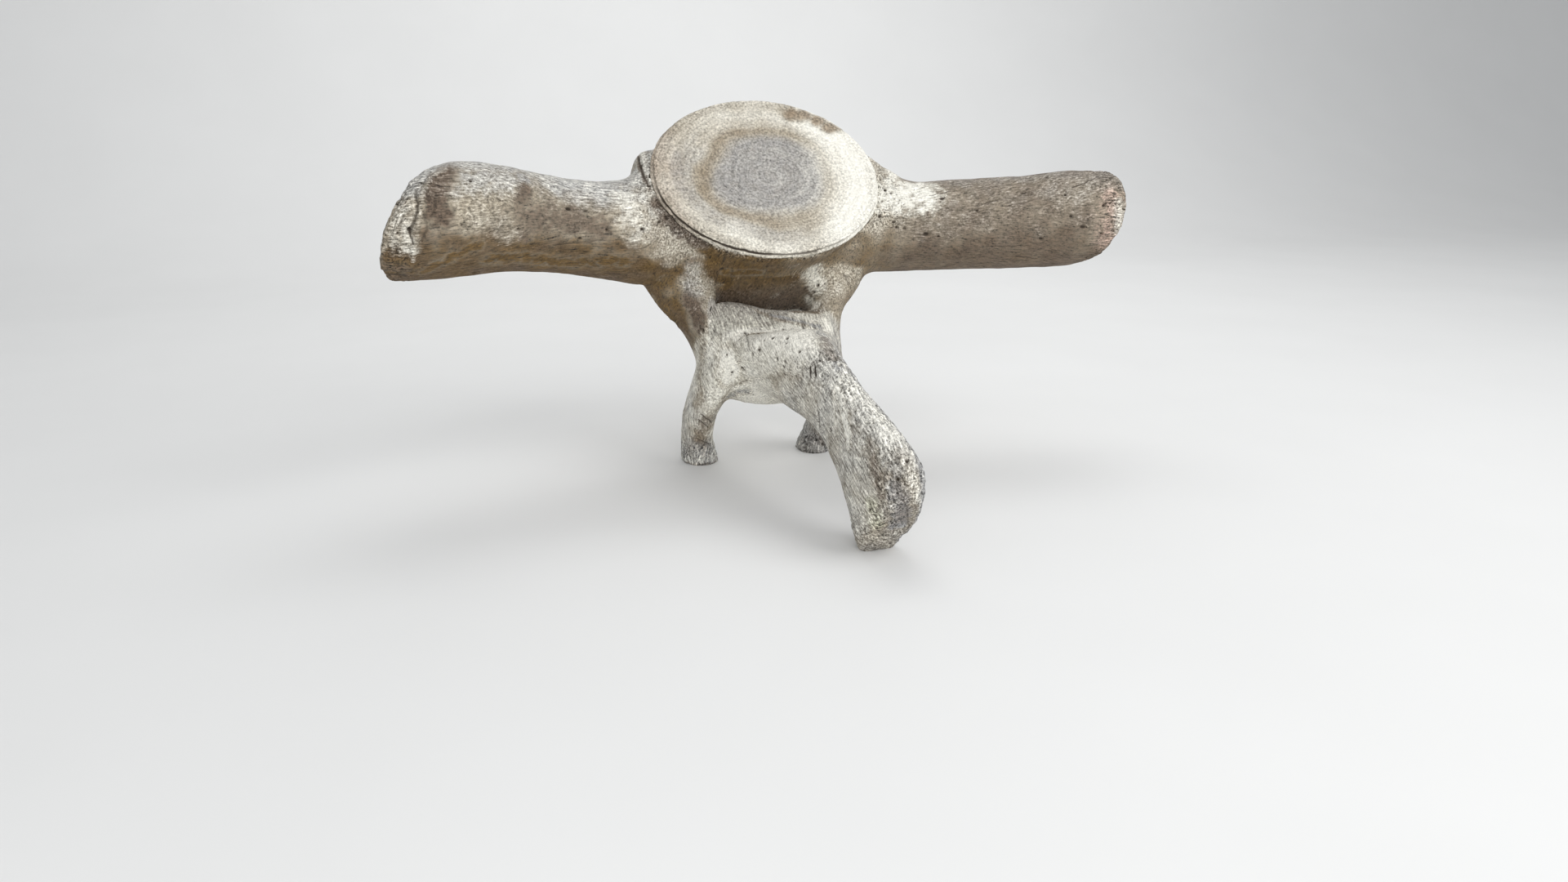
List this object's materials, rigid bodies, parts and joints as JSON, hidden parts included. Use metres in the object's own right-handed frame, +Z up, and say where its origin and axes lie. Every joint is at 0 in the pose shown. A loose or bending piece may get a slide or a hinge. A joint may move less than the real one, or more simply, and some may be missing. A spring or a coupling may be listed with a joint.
{
  "type": "whale vertebra",
  "caption": "Weathered whale vertebra lying upside down on its neural spine and metapophyses, with a drum-shaped centrum and long, broad transverse processes; a still display model.",
  "frame": {"origin": "on the floor, under the middle of the whole bone's box, in the resting pose", "axes": "+Z up; +X across the body towards the animal's left transverse process; -Y towards the viewer of the tail-facing disc, which leans back and faces up"},
  "size_m": [0.896, 0.5682, 0.4511],
  "materials": {
    "weathered_bone": "matte, dry, lengthwise fibrous grain with pores and brown staining",
    "bleached_bone": "matte, sun-bleached and finely speckled with pores",
    "stained_bone": "matte, ochre to brown stained, finely pitted",
    "end_plate_bone": "matte, smooth, with faint growth rings and a grey middle"
  },
  "bodies": {
    "root": {"centrum": "weathered_bone", "transverse_process_left": "weathered_bone", "transverse_process_right": "weathered_bone", "metapophysis_left": "weathered_bone", "metapophysis_right": "weathered_bone", "pedicle_left": "stained_bone", "pedicle_right": "stained_bone", "lamina": "bleached_bone", "neural_spine": "bleached_bone", "epiphysis_caudal": "end_plate_bone", "epiphysis_cranial": "end_plate_bone"}
  },
  "joints": []
}
